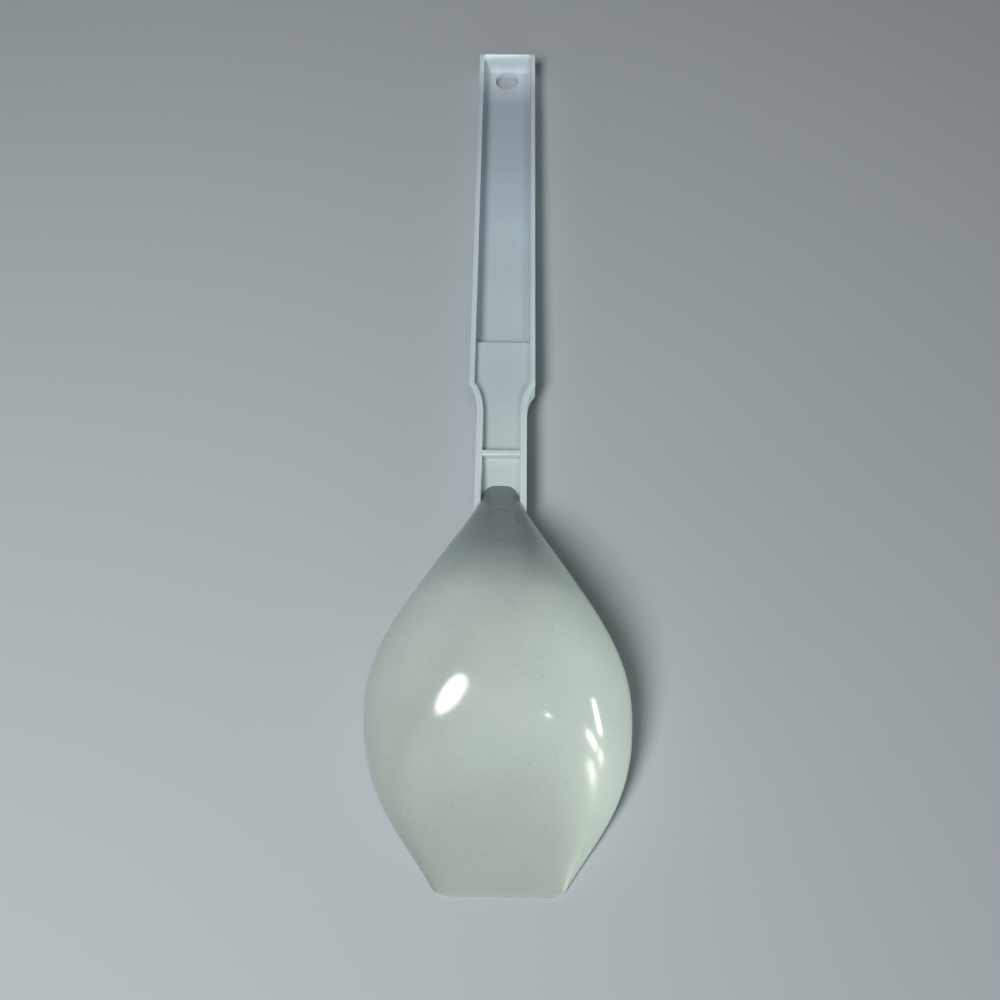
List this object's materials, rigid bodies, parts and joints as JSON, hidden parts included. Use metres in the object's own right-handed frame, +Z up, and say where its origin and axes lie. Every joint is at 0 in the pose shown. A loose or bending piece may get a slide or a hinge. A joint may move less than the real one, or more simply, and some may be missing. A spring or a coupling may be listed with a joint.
{
  "type": "serving spoon",
  "caption": "Plastic serving spoon: a deep bowl with a straight front lip on a channel handle with a drawn-in neck and a hang hole.",
  "frame": {"origin": "middle of the spoon's box on the surface that it lies on, face down", "axes": "+Y along the spoon towards the hanging end of the handle, +X to the right seen from the bowl's lip, +Z up, away from the open side of the bowl"},
  "size_m": [0.071, 0.2852, 0.0374],
  "materials": {
    "bowl_plastic": "glossy warm white",
    "handle_plastic": "satin cool white"
  },
  "bodies": {
    "root": {"bowl": "bowl_plastic", "handle": "handle_plastic", "neck_pad": "handle_plastic", "cross_rib": "handle_plastic"}
  },
  "joints": []
}
